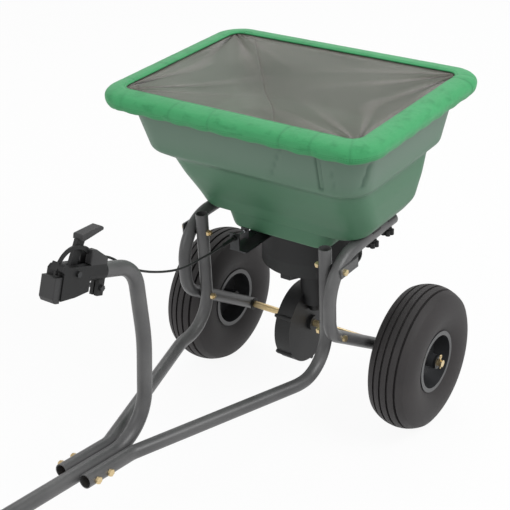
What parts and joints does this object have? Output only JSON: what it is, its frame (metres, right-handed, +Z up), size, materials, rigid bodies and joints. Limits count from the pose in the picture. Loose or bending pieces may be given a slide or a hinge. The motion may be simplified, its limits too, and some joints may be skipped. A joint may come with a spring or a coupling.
{
  "type": "tow-behind broadcast spreader",
  "caption": "Tow-behind spreader: hopper with rain cover on a bent-tube frame, wheel-driven impeller, lever-worked shut-off gate.",
  "frame": {"origin": "centre of the footprint at ground level: midway between the hitch end and the rear edge of the cover", "axes": "+X to the machine's left along the axle, +Y to the rear (it is towed towards -Y), +Z up"},
  "size_m": [0.668, 1.3512, 0.796],
  "materials": {
    "frame_paint": "semi-gloss grey powder coat",
    "zinc_steel": "yellow zinc plated",
    "bright_steel": "plain zinc plated",
    "hopper_green": "moulded, fine grain",
    "black_plastic": "moulded",
    "grey_plastic": "moulded",
    "nylon": "machined",
    "tyre_rubber": "ribbed tread",
    "black_rubber": "smooth",
    "cover_green": "woven, gathered over elastic",
    "cover_film": "smoky clear film"
  },
  "bodies": {
    "frame": {"upright_arm_left": "frame_paint", "upright_arm_right": "frame_paint", "side_loop_left": "frame_paint", "side_loop_right": "frame_paint", "tow_tube": "frame_paint", "hitch_plates": "frame_paint", "hitch_bolts": "zinc_steel", "tow_joint_bolts": "zinc_steel", "frame_bolts": "zinc_steel", "m8_nuts": "zinc_steel", "frame_spacers": "black_plastic", "loop_brackets": "frame_paint", "axle_bushes": "nylon", "hopper": "hopper_green", "hopper_saddles": "black_plastic", "hopper_bolts": "zinc_steel", "hopper_knobs": "black_plastic", "base_housing": "black_plastic", "gate_rails": "bright_steel", "base_screws": "zinc_steel", "cable_bracket": "bright_steel", "cable_barrel": "zinc_steel", "front_deflector": "grey_plastic", "shaft_bush": "nylon", "gearbox_left": "black_plastic", "gearbox_right": "black_plastic", "gearbox_screws": "zinc_steel", "gearbox_hanger": "black_plastic", "control_housing": "black_plastic", "control_cover": "grey_plastic", "control_front_block": "grey_plastic", "quadrant": "black_plastic", "control_bolts": "zinc_steel", "control_cable": "black_rubber"},
    "axle_and_drive_wheel": {"axle": "zinc_steel", "axle_washers": "zinc_steel", "axle_spacers": "bright_steel", "axle_cotters": "zinc_steel", "drive_pins": "zinc_steel", "crown_gear": "nylon", "rim_left": "frame_paint", "tyre_left": "tyre_rubber", "valve_left": "black_rubber", "wheel_bushes_left": "nylon"},
    "free_wheel": {"rim_right": "frame_paint", "tyre_right": "tyre_rubber", "valve_right": "black_rubber", "wheel_bushes_right": "nylon"},
    "impeller_unit": {"impeller": "grey_plastic", "impeller_shaft": "bright_steel", "pinion": "nylon", "agitator": "bright_steel"},
    "gate": {"shutoff_gate": "bright_steel", "gate_wire": "bright_steel"},
    "control_lever": {"lever": "black_plastic", "lever_grip": "grey_plastic"},
    "rate_stop_unit": {"rate_stop": "black_plastic", "rate_stop_screw": "black_plastic"},
    "rain_cover": {"cover_hem": "cover_green", "cover_film": "cover_film"}
  },
  "joints": [
    {"name": "axle_spin", "type": "hinge", "parent": "frame", "child": "axle_and_drive_wheel", "pos_m": [0, 0.5016, 0.165], "axis": [1, 0, 0], "continuous": true},
    {"name": "free_wheel_spin", "type": "hinge", "parent": "frame", "child": "free_wheel", "pos_m": [0, 0.5016, 0.165], "axis": [1, 0, 0], "continuous": true},
    {"name": "impeller_spin", "type": "hinge", "parent": "frame", "child": "impeller_unit", "pos_m": [0, 0.5016, 0.35], "axis": [0, 0, 1], "continuous": true},
    {"name": "lever_swing", "type": "hinge", "parent": "frame", "child": "control_lever", "pos_m": [0, -0.27052, 0.67212], "axis": [1, 0, 0], "range_deg": [0, 46]},
    {"name": "gate_slide", "type": "slide", "parent": "frame", "child": "gate", "axis": [0, -1, 0], "range_m": [0, 0.0282]},
    {"name": "rate_stop_slide", "type": "hinge", "parent": "frame", "child": "rate_stop_unit", "pos_m": [0, -0.27052, 0.67212], "axis": [1, 0, 0], "range_deg": [-50, 0]},
    {"name": "cover_lift", "type": "slide", "parent": "frame", "child": "rain_cover", "axis": [0, 0, 1], "range_m": [0, 0.08]}
  ],
  "couplings": [
    {"joint": "impeller_spin", "follows": "axle_spin", "ratio": 4},
    {"joint": "gate_slide", "follows": "lever_swing", "m_per_rad": 0.034876}
  ]
}
